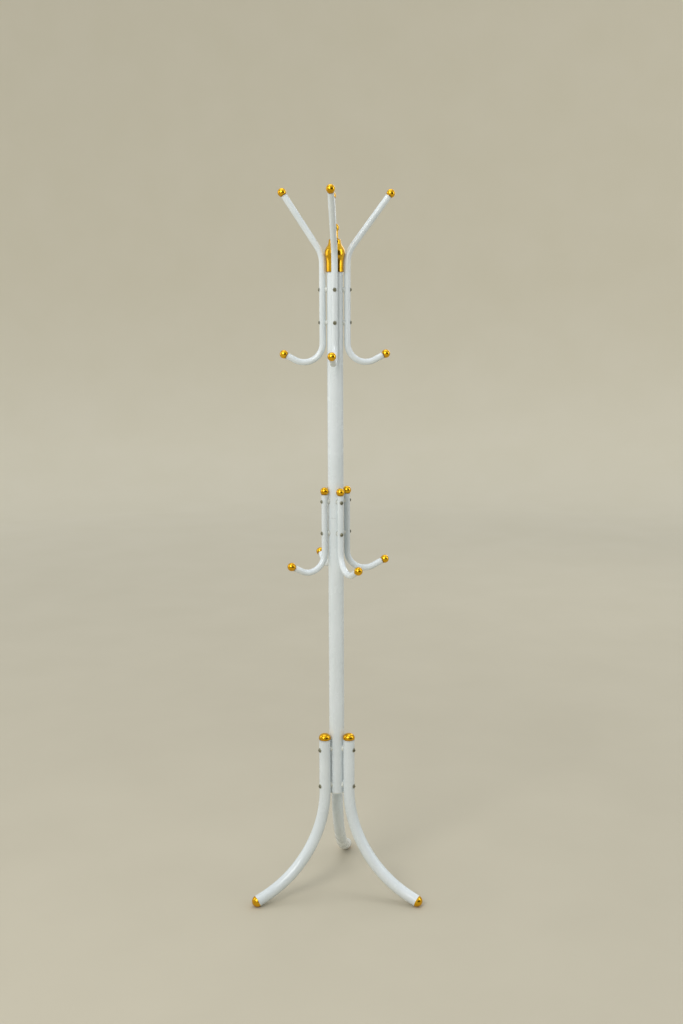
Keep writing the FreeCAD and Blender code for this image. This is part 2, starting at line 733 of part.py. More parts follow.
doc.recompute()
for item in doc.Objects:
    if "Invalid" in item.State or "Error" in item.State:
        raise RuntimeError("%s is %s" % (item.Name, item.State))
    if item.isDerivedFrom("Sketcher::SketchObject") and not item.FullyConstrained:
        raise RuntimeError("%s is not fully constrained" % item.Name)
os.makedirs("parts", exist_ok=True)
for node, item in exports:
    shape = item.Shape
    if shape.isNull() or not shape.isValid():
        raise RuntimeError("%s has no valid shape" % node)
    shape.exportStep("parts/" + node + ".step")
    print("%s solids %d volume %.1f" % (node, len(shape.Solids), shape.Volume))
print("%d nodes" % len(exports))
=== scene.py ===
"""Looks, light and camera for a free-standing coat rack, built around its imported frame.

Metres. +Z is up, -Y is towards the viewer, and the origin is on the floor under the pole.
"""
import math

import bmesh
import bpy
import numpy as np
from mathutils import Matrix, Vector


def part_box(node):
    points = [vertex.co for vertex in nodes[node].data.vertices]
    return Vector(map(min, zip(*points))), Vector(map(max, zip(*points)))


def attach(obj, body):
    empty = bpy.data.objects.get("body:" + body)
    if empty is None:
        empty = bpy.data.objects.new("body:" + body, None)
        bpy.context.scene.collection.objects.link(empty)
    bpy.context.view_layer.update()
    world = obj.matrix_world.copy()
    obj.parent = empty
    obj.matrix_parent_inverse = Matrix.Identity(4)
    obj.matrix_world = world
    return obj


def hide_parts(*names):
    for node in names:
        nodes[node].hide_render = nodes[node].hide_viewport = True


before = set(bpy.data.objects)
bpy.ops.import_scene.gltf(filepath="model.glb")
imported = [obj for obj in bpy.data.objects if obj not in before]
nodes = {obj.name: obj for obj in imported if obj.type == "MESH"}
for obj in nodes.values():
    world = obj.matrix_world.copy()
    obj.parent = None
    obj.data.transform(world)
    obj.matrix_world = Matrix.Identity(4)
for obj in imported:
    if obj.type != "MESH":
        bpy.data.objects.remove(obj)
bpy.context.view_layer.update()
MM = 0.001

# Camera ---------------------------------------------------------------------------------------------

CAMERA_PLACE = (0.0, -2.926, 1.514)
CAMERA_PITCH_DOWN = 10.31
CAMERA_YAW_RIGHT = 0.27
CAMERA_ROLL = -0.20
CAMERA_LENS = 42.92
CAMERA_SENSOR = 36.0
CAMERA_NEAREST = 0.05

camera_data = bpy.data.cameras.new("camera")
camera_data.lens = CAMERA_LENS
camera_data.sensor_width = CAMERA_SENSOR
camera_data.clip_start = CAMERA_NEAREST
camera = bpy.data.objects.new("camera", camera_data)
turn = Matrix.Rotation(math.radians(-CAMERA_YAW_RIGHT), 4, "Z")
tilt = Matrix.Rotation(math.radians(90.0 - CAMERA_PITCH_DOWN), 4, "X")
roll = Matrix.Rotation(math.radians(CAMERA_ROLL), 4, "Z")
camera.matrix_world = Matrix.Translation(CAMERA_PLACE) @ turn @ tilt @ roll
bpy.context.scene.collection.objects.link(camera)
bpy.context.scene.camera = camera

# Sizes, and places read from the frame --------------------------------------------------------------

# Outer radii of the round pieces.
ARM_TUBE = 7.5 * MM
LEG_TUBE = 14.3 * MM
BALL = 10.25 * MM
POLE = 19.0 * MM
SMALL_HEAD = 4.4 * MM
LARGE_HEAD = 5.3 * MM
SPACER = 6.5 * MM

# A ball's centre stands this far past its tube's end, where the ball is as wide as the tube.
BALL_RISE = math.sqrt(BALL ** 2 - ARM_TUBE ** 2)

# The outermost layer of a bolt node holds only heads. A head's points lie this close together, and
# a tube's own heads stand no further than this outside its box.
HEAD_LAYER = 2.0 * MM
HEAD_SPREAD = 14.0 * MM
HEAD_REACH = 9.0 * MM

PLACES = ("left", "front", "right", "rear")
LEG_PLACES = ("left", "right", "rear")
ARM_NODES = ["top_arm_" + place for place in PLACES]
HOOK_NODES = ["mid_hook_" + place for place in PLACES]
LEG_NODES = ["leg_" + place for place in LEG_PLACES]
BALL_CAPS = [name for name in nodes if name.startswith(("cap_top_arm", "cap_mid_hook"))]
LEG_CAPS = ["cap_" + node for node in LEG_NODES]


def surface_of(node):
    """Centres and areas of a node's faces."""
    mesh = nodes[node].data
    centres = np.zeros(len(mesh.polygons) * 3)
    areas = np.zeros(len(mesh.polygons))
    mesh.polygons.foreach_get("center", centres)
    mesh.polygons.foreach_get("area", areas)
    return centres.reshape(-1, 3), areas


def points_of(node):
    """A node's points."""
    mesh = nodes[node].data
    points = np.zeros(len(mesh.vertices) * 3)
    mesh.vertices.foreach_get("co", points)
    return points.reshape(-1, 3)


def axis_of(node):
    """Seat centre and outward direction of a round cap, from the shape of its solid.

    A turned solid spreads alike both ways across its axis, so of its three main directions the axis
    is the odd one. The cap is widest near its outer end.
    """
    centres, areas = surface_of(node)
    middle = (centres * areas[:, None]).sum(0) / areas.sum()
    spread = (centres - middle).T @ ((centres - middle) * areas[:, None])
    sizes, ways = np.linalg.eigh(spread)
    odd = 0 if sizes[1] - sizes[0] > sizes[2] - sizes[1] else 2
    way = ways[:, odd]
    points = points_of(node) - middle
    along = points @ way
    across = np.linalg.norm(points - np.outer(along, way), axis=1)
    widest = along[across.argmax()]
    if widest < (along.max() + along.min()) / 2:
        way = -way
        along = -along
    top = middle + way * along.max()
    height = LEG_TUBE if node in LEG_CAPS else BALL + BALL_RISE
    return Vector(top - way * height), Vector(way)


def heads_of(node):
    """Centres of the screw heads in a node: its outermost points, gathered into clusters."""
    points = points_of(node)
    radius = np.hypot(points[:, 0], points[:, 1])
    outer = points[radius > radius.max() - HEAD_LAYER]
    centres = []
    while len(outer):
        same = np.linalg.norm(outer - outer[0], axis=1) < HEAD_SPREAD
        centres.append(Vector((outer[same].min(0) + outer[same].max(0)) / 2))
        outer = outer[~same]
    return centres


def heads_on(node, heads):
    """The screw heads that sit on a tube."""
    low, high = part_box(node)
    return [
        head for head in heads
        if all(low[i] - HEAD_REACH < head[i] < high[i] + HEAD_REACH for i in range(3))
    ]


def on_pole(head):
    """The point of the pole's surface behind a screw head."""
    flat = Vector((head.x, head.y, 0.0)).normalized() * POLE
    return Vector((flat.x, flat.y, head.z))


seats = {name: axis_of(name) for name in BALL_CAPS + LEG_CAPS}
arm_heads = heads_of("top_arm_bolts")
hook_heads = heads_of("mid_hook_bolts")
leg_heads = heads_of("leg_bolts")

# Shader helpers -------------------------------------------------------------------------------------

# Most of a noise texture's values lie in this range.
NOISE_RANGE = (0.3, 0.7)


def srgb(red, green, blue):
    """Linear colour for a display colour given from 0 to 255."""
    parts = []
    for part in (red, green, blue):
        value = part / 255.0
        parts.append(value / 12.92 if value <= 0.04045 else ((value + 0.055) / 1.055) ** 2.4)
    return (parts[0], parts[1], parts[2], 1.0)


class Nodes:
    """Short ways to add and join the nodes of one node tree."""

    def __init__(self, tree, coordinates):
        self.tree = tree
        self.place = self.add("TexCoord").outputs[coordinates]

    def add(self, kind):
        return self.tree.nodes.new("ShaderNode" + kind)

    def join(self, output, target):
        self.tree.links.new(output, target)

    def give(self, target, value):
        """Link a socket, or set its value if the value isn't a socket."""
        if isinstance(value, bpy.types.NodeSocket):
            self.join(value, target)
        else:
            target.default_value = value

    def stretched(self, scale, turned=(0.0, 0.0, 0.0)):
        """Coordinates scaled along each axis and turned."""
        node = self.add("Mapping")
        node.inputs["Scale"].default_value = scale
        node.inputs["Rotation"].default_value = turned
        self.join(self.place, node.inputs["Vector"])
        return node.outputs["Vector"]

    def noise(self, scale, detail=3.0, rough=0.5, vector=None):
        node = self.add("TexNoise")
        node.inputs["Scale"].default_value = scale
        node.inputs["Detail"].default_value = detail
        node.inputs["Roughness"].default_value = rough
        self.join(vector if vector is not None else self.place, node.inputs["Vector"])
        return node.outputs["Fac"]

    def cells(self, scale):
        """Distance to the nearest of many scattered points."""
        node = self.add("TexVoronoi")
        node.inputs["Scale"].default_value = scale
        self.join(self.place, node.inputs["Vector"])
        return node.outputs["Distance"]

    def tones(self, factor, low, high, over=NOISE_RANGE):
        """A colour that goes from low to high as the factor crosses a range."""
        node = self.add("ValToRGB")
        first, last = node.color_ramp.elements
        first.position, first.color = over[0], low
        last.position, last.color = over[1], high
        self.join(factor, node.inputs["Fac"])
        return node.outputs["Color"]

    def span(self, value, over, to=(0.0, 1.0)):
        """Carry one range of values over to another, held at its ends."""
        node = self.add("MapRange")
        self.join(value, node.inputs["Value"])
        node.inputs["From Min"].default_value, node.inputs["From Max"].default_value = over
        node.inputs["To Min"].default_value, node.inputs["To Max"].default_value = to
        return node.outputs["Result"]

    def calculate(self, kind, operation, first, second):
        """One number from two numbers or two vectors."""
        node = self.add(kind)
        node.operation = operation
        self.give(node.inputs[0], first)
        self.give(node.inputs[1], second)
        return node.outputs["Value"]

    def plus(self, first, second):
        return self.calculate("Math", "ADD", first, second)

    def minus(self, first, second):
        return self.calculate("Math", "SUBTRACT", first, second)

    def times(self, first, second):
        return self.calculate("Math", "MULTIPLY", first, second)

    def dot(self, first, second):
        return self.calculate("VectorMath", "DOT_PRODUCT", first, second)

    def mix(self, factor, first, second, method="MIX"):
        node = self.add("Mix")
        node.data_type = "RGBA"
        node.blend_type = method
        self.give(node.inputs["Factor"], factor)
        self.give(node.inputs["A"], first)
        self.give(node.inputs["B"], second)
        return node.outputs["Result"]

    def bump(self, height, distance, strength, normal=None):
        """Raise the surface by a height, on top of an earlier bump if there is one."""
        node = self.add("Bump")
        node.inputs["Strength"].default_value = strength
        node.inputs["Distance"].default_value = distance
        self.join(height, node.inputs["Height"])
        if normal is not None:
            self.join(normal, node.inputs["Normal"])
        return node.outputs["Normal"]

    def closest(self, points):
        """Distance to the nearest of a few places."""
        nearest = None
        for point in points:
            away = self.calculate("VectorMath", "DISTANCE", self.place, point)
            nearest = away if nearest is None else self.calculate("Math", "MINIMUM", nearest, away)
        return nearest

    def frayed(self, distance, ragged, depth, over=NOISE_RANGE):
        """A distance made shorter, unevenly, by a ragged noise."""
        return self.minus(distance, self.span(ragged, over, (0.0, depth)))

    def upward(self, vector):
        """How far up a vector reaches."""
        node = self.add("SeparateXYZ")
        self.join(vector, node.inputs["Vector"])
        return node.outputs["Z"]

    def height(self):
        return self.upward(self.place)

    def from_level(self, level):
        """Distance above or below a level."""
        return self.calculate("Math", "ABSOLUTE", self.minus(self.height(), level), 0.0)

    def facing(self):
        """The way the surface faces."""
        return self.add("NewGeometry").outputs["Normal"]


class Finish(Nodes):
    """A new material: its Principled shader and the nodes that feed it."""

    def __init__(self, name):
        self.material = bpy.data.materials.new(name)
        self.material.use_nodes = True
        super().__init__(self.material.node_tree, "Object")
        self.shader = self.tree.nodes["Principled BSDF"]

    def set(self, name, value):
        self.shader.inputs[name].default_value = value

    def feed(self, output, name):
        self.join(output, self.shader.inputs[name])


# White enamel ---------------------------------------------------------------------------------------

ENAMEL_LOW = srgb(212, 220, 222)
ENAMEL_HIGH = srgb(224, 231, 234)
# Real dirt colour, also used for painted shade at tube ends and round screws and spacers.
GRIME_AND_SHADE = srgb(150, 147, 132)
BARE_EDGE = srgb(146, 143, 131)
FRAY_RANGE = (0.35, 0.65)

# A tube's ends: chips in the last of the enamel, and a band of painted shade and grime behind them,
# where the cap meets the tube.
END_FRAY = 0.4 * MM
END_SHADE_WIDTH = 1.0 * MM
END_SHADE_DARKNESS = 0.35
CHIP_INSIDE = 0.30 * MM
CHIP_OUTSIDE = 0.22 * MM
CHIP_DEPTH = 0.08 * MM

# The ring of painted shade and grime round a screw or a spacer.
RING_FRAY = 0.8 * MM
RING_WIDTH = 1.6 * MM
RING_SHADE_DARKNESS = 0.5

# The line where the pole's two halves meet.
JOINT_CORE = 0.06 * MM
JOINT_EDGE = 0.22 * MM
JOINT_DARKNESS = 0.6
JOINT_DEPTH = 0.3 * MM

# Rubbing by hangers, full at the first height above a hook's lowest point and gone at the second.
RUB_FULL = 6.0 * MM
RUB_END = 32.0 * MM
RUB_DARKNESS = 0.30
RUB_POLISH = 0.08

# Darkening towards the floor, and scuffs, full at the first height above the floor and gone at the
# second.
SCUFF_FULL = 15.0 * MM
SCUFF_END = 140.0 * MM
FLOOR_DARKENING = 0.10
SCUFF_DARKNESS = 0.20
SCUFF_DULLNESS = 0.1


def enamel_ground(m):
    """Colour and roughness of unmarked enamel: faint clouds, and streaks that run down it."""
    clouds = m.tones(m.noise(7.0, 2.0), ENAMEL_LOW, ENAMEL_HIGH)
    streaks = m.noise(60.0, 4.0, 0.65, m.stretched((1.0, 1.0, 0.06)))
    colour = m.mix(m.span(streaks, (0.55, 0.75), (0.0, 0.10)), clouds, GRIME_AND_SHADE)
    rough = m.span(m.noise(40.0, 4.0, 0.6), NOISE_RANGE, (0.20, 0.30))
    return colour, m.plus(rough, m.span(streaks, (0.5, 0.75), (0.0, 0.12)))


def chipped_and_shaded_ends(m, colour, ragged, ends, radius):
    """Enamel with painted shade and grime beside a tube's ends, where the cap meets it, and chipped off
    at their very edge.
    """
    away = m.frayed(m.closest(ends), ragged, END_FRAY, FRAY_RANGE)
    end_shade = m.span(away, (radius, radius + END_SHADE_WIDTH), (END_SHADE_DARKNESS, 0.0))
    chips = m.span(away, (radius - CHIP_INSIDE, radius - CHIP_OUTSIDE), (1.0, 0.0))
    # The band beside the end is painted shade and grime, darkest next to the cap.
    return m.mix(chips, m.mix(end_shade, colour, GRIME_AND_SHADE), BARE_EDGE), chips


def shaded_screw_rings(m, colour, ragged, heads, radius):
    """Painted shade and grime in a ring round each screw head or spacer."""
    away = m.frayed(m.closest(heads), ragged, RING_FRAY, FRAY_RANGE)
    # The ring is painted shade and grime, darkest next to the head or spacer.
    return m.mix(m.span(away, (radius, radius + RING_WIDTH), (RING_SHADE_DARKNESS, 0.0)), colour, GRIME_AND_SHADE)


def joint_line(m, colour, level):
    """The fine dark line where the two halves of the pole meet."""
    line = m.span(m.from_level(level), (JOINT_CORE, JOINT_EDGE), (1.0, 0.0))
    return m.mix(m.times(line, JOINT_DARKNESS), colour, GRIME_AND_SHADE), line


def rubbed_rest(m, colour, rough, bottom):
    """Grey, smoother patches on the upper side of a hook's low bend, where hangers rest."""
    low = m.span(m.height(), (bottom + RUB_FULL, bottom + RUB_END), (1.0, 0.0))
    rubbed = m.times(low, m.span(m.upward(m.facing()), (0.25, 0.8)))
    patchy = m.times(rubbed, m.span(m.noise(150.0, 4.0, 0.7), (0.42, 0.66)))
    colour = m.mix(m.times(patchy, RUB_DARKNESS), colour, GRIME_AND_SHADE)
    return colour, m.minus(rough, m.times(rubbed, RUB_POLISH))


def floor_scuffs(m, colour, rough):
    """Colour darker towards the floor, and slanted scuffs, on a leg's last stretch above the floor."""
    low = m.span(m.height(), (SCUFF_FULL, SCUFF_END), (1.0, 0.0))
    slanted = m.noise(90.0, 4.0, 0.6, m.stretched((1.0, 1.0, 3.5), (0.4, 0.3, 0.0)))
    marks = m.times(low, m.span(slanted, (0.58, 0.72)))
    # Colour made darker towards the floor.
    colour = m.mix(m.times(low, FLOOR_DARKENING), colour, GRIME_AND_SHADE)
    colour = m.mix(m.times(marks, SCUFF_DARKNESS), colour, BARE_EDGE)
    return colour, m.plus(rough, m.times(marks, SCUFF_DULLNESS))


def enamel_relief(m, chips, line):
    """Orange peel, a long swell and nibs in the enamel, with its chips and joint line sunk in."""
    peel = m.bump(m.noise(420.0, 0.0), 0.06 * MM, 0.35)
    swell = m.bump(m.noise(24.0, 1.0), 0.5 * MM, 0.16, peel)
    relief = m.bump(m.span(m.cells(70.0), (0.02, 0.045), (1.0, 0.0)), 0.10 * MM, 0.5, swell)
    if chips is not None:
        relief = m.bump(m.minus(1.0, chips), CHIP_DEPTH, 0.6, relief)
    if line is not None:
        relief = m.bump(m.minus(1.0, line), JOINT_DEPTH, 1.0, relief)
    return relief


def enamel(name, heads, head_radius, ends=(), end_radius=0.0, joint=None, rest=None, scuffed=False):
    """Cool white gloss enamel over steel tube, with the marks of use that the tube has and painted shade
    and grime round its screws and at its ends.
    """
    m = Finish(name)
    ragged = m.noise(900.0, 3.0, 0.6)
    colour, rough = enamel_ground(m)
    chips = None
    line = None
    if ends:
        colour, chips = chipped_and_shaded_ends(m, colour, ragged, ends, end_radius)
    colour = shaded_screw_rings(m, colour, ragged, heads, head_radius)
    if joint is not None:
        colour, line = joint_line(m, colour, joint)
    if rest is not None:
        colour, rough = rubbed_rest(m, colour, rough, rest)
    if scuffed:
        colour, rough = floor_scuffs(m, colour, rough)
    m.feed(colour, "Base Color")
    m.feed(rough, "Roughness")
    m.feed(enamel_relief(m, chips, line), "Normal")
    m.set("IOR", 1.5)
    m.set("Coat Weight", 0.3)
    m.set("Coat Roughness", 0.07)
    return m.material


# Gold plating ---------------------------------------------------------------------------------------

GOLD_LOW = srgb(222, 163, 27)
GOLD_HIGH = srgb(240, 188, 44)
# Brown of blush and pin-holes, also used for painted shade at seams.
PATINA_AND_SHADE = srgb(128, 78, 14)
BLUSH_RANGE = (0.56, 0.74)

# Painted shade and tarnish round a cap's seat and along a level seam, where parts meet, and tarnish in
# pin-holes.
SEAT_FRAY = 0.7 * MM
SEAT_SHADE_WIDTH = 0.8 * MM
SEAT_SHADE_AND_TARNISH = 0.6
LEVEL_FRAY = 0.5 * MM
LEVEL_CORE = 0.2 * MM
LEVEL_EDGE = 1.3 * MM
LEVEL_SHADE_AND_TARNISH = 0.8
PIT_TARNISH = 0.5


def gold(name, seat=None, seat_radius=0.0, levels=()):
    """Bright gold plating: haze, fine rubs, pin-holes, and brown painted shade and tarnish along its
    seams.
    """
    m = Finish(name)
    colour = m.tones(m.noise(55.0, 3.0, 0.6), GOLD_LOW, GOLD_HIGH, (0.32, 0.68))
    blush = m.noise(210.0, 4.0, 0.7)
    colour = m.mix(m.span(blush, BLUSH_RANGE, (0.0, 0.45)), colour, PATINA_AND_SHADE)
    ragged = m.noise(800.0, 3.0, 0.6)
    if seat is not None:
        # Painted shade and tarnish in a ring where the cap meets its tube.
        away = m.frayed(m.closest([seat]), ragged, SEAT_FRAY)
        ring = m.span(away, (seat_radius, seat_radius + SEAT_SHADE_WIDTH), (SEAT_SHADE_AND_TARNISH, 0.0))
        colour = m.mix(ring, colour, PATINA_AND_SHADE)
    for level in levels:
        # Painted shade and tarnish along a level seam where parts meet.
        away = m.frayed(m.from_level(level), ragged, LEVEL_FRAY)
        colour = m.mix(m.span(away, (LEVEL_CORE, LEVEL_EDGE), (LEVEL_SHADE_AND_TARNISH, 0.0)), colour, PATINA_AND_SHADE)
    pits = m.span(m.cells(330.0), (0.05, 0.10), (1.0, 0.0))
    m.feed(m.mix(m.times(pits, PIT_TARNISH), colour, PATINA_AND_SHADE), "Base Color")
    m.set("Metallic", 1.0)
    rubs = m.noise(420.0, 4.0, 0.7, m.stretched((1.0, 1.0, 9.0), (0.5, 0.2, 0.0)))
    scratches = m.noise(500.0, 3.0, 0.7, m.stretched((10.0, 1.0, 1.0), (0.0, 0.6, 0.8)))
    haze = m.span(m.noise(130.0, 4.0, 0.65), NOISE_RANGE, (0.09, 0.20))
    haze = m.plus(haze, m.span(rubs, (0.5, 0.7), (0.0, 0.10)))
    m.feed(m.plus(haze, m.span(blush, BLUSH_RANGE, (0.0, 0.12))), "Roughness")
    swell = m.bump(m.noise(90.0, 1.0), 0.25 * MM, 0.22)
    rubbed = m.bump(rubs, 0.05 * MM, 0.30, swell)
    scratched = m.bump(m.span(scratches, (0.60, 0.70)), 0.02 * MM, 0.5, rubbed)
    m.feed(m.bump(m.minus(1.0, pits), 0.05 * MM, 0.6, scratched), "Normal")
    return m.material


# Fasteners and plastic ------------------------------------------------------------------------------

SCREW_LOW = srgb(104, 103, 84)
SCREW_HIGH = srgb(138, 137, 114)
WORN_METAL = srgb(198, 194, 172)
WORN_WIDTH = 0.35 * MM
PLASTIC_LOW = srgb(208, 211, 204)
PLASTIC_HIGH = srgb(220, 223, 217)
ZINC_LOW = srgb(158, 160, 160)
ZINC_HIGH = srgb(188, 190, 188)


def dark_screw():
    """Olive-bronze screw finish, worn to bright metal on the head's edges and round the socket."""
    m = Finish("dark_screw")
    tone = m.tones(m.noise(900.0, 3.0), SCREW_LOW, SCREW_HIGH)
    rounded = m.add("Bevel")
    rounded.inputs["Radius"].default_value = WORN_WIDTH
    edge = m.span(m.dot(rounded.outputs["Normal"], m.facing()), (0.80, 0.97), (1.0, 0.0))
    worn = m.times(edge, m.span(m.noise(1400.0, 3.0), (0.35, 0.6), (0.2, 1.0)))
    m.feed(m.mix(worn, tone, WORN_METAL), "Base Color")
    m.set("Metallic", 0.8)
    m.feed(m.span(m.noise(1500.0, 3.0), NOISE_RANGE, (0.30, 0.48)), "Roughness")
    m.feed(m.bump(m.noise(2200.0, 2.0), 0.03 * MM, 0.5), "Normal")
    return m.material


def white_plastic():
    """Moulded plastic of the spacers and the end plug: satin, with a fine sparked texture."""
    m = Finish("white_plastic")
    tone = m.tones(m.noise(120.0, 2.0), PLASTIC_LOW, PLASTIC_HIGH)
    dust = m.span(m.noise(420.0, 4.0, 0.7), (0.55, 0.75), (0.0, 0.35))
    m.feed(m.mix(dust, tone, GRIME_AND_SHADE), "Base Color")
    m.feed(m.span(m.noise(500.0, 3.0), NOISE_RANGE, (0.40, 0.58)), "Roughness")
    m.feed(m.bump(m.noise(1300.0, 2.0), 0.05 * MM, 0.6), "Normal")
    m.set("Specular IOR Level", 0.45)
    return m.material


def zinc_steel():
    """Zinc-plated steel of the nuts and the sleeve, with its faint spangle."""
    m = Finish("zinc_steel")
    m.feed(m.tones(m.cells(260.0), ZINC_LOW, ZINC_HIGH, (0.2, 0.8)), "Base Color")
    m.set("Metallic", 1.0)
    m.feed(m.span(m.noise(300.0, 3.0), NOISE_RANGE, (0.30, 0.50)), "Roughness")
    m.feed(m.bump(m.noise(800.0, 2.0), 0.05 * MM, 0.4), "Normal")
    return m.material


# Finish every node of the frame ---------------------------------------------------------------------

# The finial's collar ends this far below the finial's top.
FINIAL_COLLAR_DROP = 36.2 * MM


def paint(node, material):
    nodes[node].data.materials.clear()
    nodes[node].data.materials.append(material)


def paint_hook(node, caps, heads):
    """Enamel a bent tube that ends in two ball caps and carries hangers on its lowest bend."""
    ends = [seats["cap_" + node + cap][0] for cap in caps]
    screws = heads_on(node, heads)
    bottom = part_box(node)[0][2]
    paint(node, enamel("enamel_" + node, screws, SMALL_HEAD, ends, ARM_TUBE, rest=bottom))


def paint_leg(node):
    """Enamel a leg, which has a cap on its upper end and is scuffed near the floor."""
    ends = [seats["cap_" + node][0]]
    screws = heads_on(node, leg_heads)
    paint(node, enamel("enamel_" + node, screws, LARGE_HEAD, ends, LEG_TUBE, scuffed=True))


for node in ARM_NODES:
    paint_hook(node, ("_upper", "_hook"), arm_heads)
for node in HOOK_NODES:
    paint_hook(node, ("_top", "_tip"), hook_heads)
for node in LEG_NODES:
    paint_leg(node)

pole_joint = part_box("upper_pole")[0][2]
upper_marks = [on_pole(head) for head in arm_heads + hook_heads if head.z > pole_joint]
lower_marks = [on_pole(head) for head in hook_heads + leg_heads if head.z < pole_joint]
for node, marks in (("upper_pole", upper_marks), ("lower_pole", lower_marks)):
    paint(node, enamel("enamel_" + node, marks, SPACER, joint=pole_joint))

screw = dark_screw()
plastic = white_plastic()
zinc = zinc_steel()
for family in ("top_arm", "mid_hook", "leg"):
    paint(family + "_bolts", screw)
    paint(family + "_spacers", plastic)
    paint(family + "_nuts", zinc)
paint("pole_end_plug", plastic)
paint("pole_connector", zinc)

finial_low, finial_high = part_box("finial")
# Painted shade and tarnish go along the finial's bottom edge and the foot of its collar.
finial_seams = (finial_low[2], finial_high[2] - FINIAL_COLLAR_DROP)
paint("finial", gold("gold_finial", levels=finial_seams))
for place in LEG_PLACES:
    paint("foot_" + place, gold("gold_foot_" + place))

# Detailed caps --------------------------------------------------------------------------------------

ARM_WALL = 1.0 * MM
LEG_WALL = 1.2 * MM
TUBE_SLIP = 0.03 * MM
ARM_BORE = ARM_TUBE - ARM_WALL - TUBE_SLIP
LEG_BORE = LEG_TUBE - LEG_WALL - TUBE_SLIP
ARM_SPIGOT = 13.0 * MM
LEG_SPIGOT = 15.0 * MM
SPIGOT_EDGE = 0.6 * MM
LIP = 0.45 * MM
LIP_LENGTH = 0.9 * MM
LIP_EDGE = 0.15 * MM
LEG_BULGE = 0.7 * MM
LEG_BULGE_HEIGHT = 1.4 * MM
DOME_FULLNESS = 2.25

# The line round a ball: its depth, and how many degrees from the middle its rim and its floor lie.
GROOVE_DEPTH = 0.07 * MM
GROOVE_RIM = 0.9
GROOVE_FLOOR = 0.3

BALL_STEPS_BELOW = 18
BALL_STEPS_ABOVE = 40
DOME_STEPS = 44
BALL_TURNS = 96
DOME_TURNS = 112
SHARP_ANGLE = 32.0
ON_AXIS = 1e-6


def lathe(name, outline, seat, way, turns):
    """Turn an outline of (radius, height) points once round an axis; it starts and ends on the axis."""
    stand = Matrix.Translation(seat) @ way.to_track_quat("Z", "Y").to_matrix().to_4x4()
    shape = bmesh.new()
    rings = []
    for radius, height in outline:
        steps = 1 if radius < ON_AXIS else turns
        angles = [math.tau * step / steps for step in range(steps)]
        spots = [Vector((radius * math.cos(a), radius * math.sin(a), height)) for a in angles]
        rings.append([shape.verts.new(stand @ spot) for spot in spots])
    for lower, upper in zip(rings[:-1], rings[1:]):
        for step in range(turns):
            after = (step + 1) % turns
            corners = [lower[step % len(lower)], lower[after % len(lower)],
                       upper[after % len(upper)], upper[step % len(upper)]]
            shape.faces.new(list(dict.fromkeys(corners)))
    bmesh.ops.recalc_face_normals(shape, faces=shape.faces)
    mesh = bpy.data.meshes.new(name)
    shape.to_mesh(mesh)
    shape.free()
    mesh.polygons.foreach_set("use_smooth", [True] * len(mesh.polygons))
    mesh.set_sharp_from_angle(angle=math.radians(SHARP_ANGLE))
    piece = bpy.data.objects.new(name, mesh)
    bpy.context.scene.collection.objects.link(piece)
    return piece


def spigot_outline(bore, length, tube):
    """The spigot inside the tube and the thin lip that wraps the tube's end."""
    outside = tube + LIP
    return [
        (0.0, -length),
        (bore - SPIGOT_EDGE, -length),
        (bore, SPIGOT_EDGE - length),
        (bore, 0.0),
        (tube + TUBE_SLIP, 0.0),
        (tube + TUBE_SLIP, -LIP_LENGTH),
        (outside - LIP_EDGE, -LIP_LENGTH),
        (outside, LIP_EDGE - LIP_LENGTH),
    ]


def ball_outline():
    """A ball that grows out of the lip, with the shallow line where its two halves meet."""
    start = -math.degrees(math.acos((ARM_TUBE + LIP) / BALL))
    below = np.linspace(start, -GROOVE_RIM, BALL_STEPS_BELOW)
    groove = (-GROOVE_FLOOR, GROOVE_FLOOR)
    above = np.linspace(GROOVE_RIM, 90.0, BALL_STEPS_ABOVE)[:-1]
    points = spigot_outline(ARM_BORE, ARM_SPIGOT, ARM_TUBE)
    for angles, radius in ((below, BALL), (groove, BALL - GROOVE_DEPTH), (above, BALL)):
        for angle in angles:
            lean = math.radians(angle)
            points.append((radius * math.cos(lean), BALL_RISE + radius * math.sin(lean)))
    points.append((0.0, BALL_RISE + BALL))
    return points


def dome_outline():
    """A full-shouldered dome whose widest ring stands a little proud of the leg's tube."""
    points = spigot_outline(LEG_BORE, LEG_SPIGOT, LEG_TUBE)
    wide = LEG_TUBE + LEG_BULGE
    rise = LEG_TUBE - LEG_BULGE_HEIGHT
    power = 2.0 / DOME_FULLNESS
    for angle in np.linspace(0.0, 90.0, DOME_STEPS)[:-1]:
        lean = math.radians(angle)
        height = LEG_BULGE_HEIGHT + rise * math.sin(lean) ** power
        points.append((wide * math.cos(lean) ** power, height))
    points.append((0.0, LEG_TUBE))
    return points


def add_cap(node, outline, turns, material):
    """A turned cap on its seat, shown in place of the frame's own."""
    seat, way = seats[node]
    piece = lathe(node + "_shell", outline, seat, way, turns)
    piece.data.materials.append(material)
    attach(piece, "root")
    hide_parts(node)


for node in BALL_CAPS:
    add_cap(node, ball_outline(), BALL_TURNS, gold("gold_" + node, seats[node][0], ARM_TUBE + LIP))
for node in LEG_CAPS:
    # Painted shade and tarnish go along the line where the lip ends on the leg.
    lip_end = seats[node][0].z - LIP_LENGTH
    add_cap(node, dome_outline(), DOME_TURNS, gold("gold_" + node, levels=[lip_end]))

# Floor and backdrop ---------------------------------------------------------------------------------

FLOOR_RADIUS = 5.5
WALL_BEND = 1.6
WALL_HEIGHT = 7.0
BEND_STEPS = 16
ROUND = 96
FLOOR_LOW = srgb(186, 179, 160)
FLOOR_HIGH = srgb(189, 182, 163)
WALL_LOW = srgb(207, 201, 181)
WALL_HIGH = srgb(209, 203, 184)

# The paper's own glow, and the distances from the middle between which it and the tone come in.
PAPER_GLOW = 0.22
PAPER_RANGE = (1.2, 6.5)


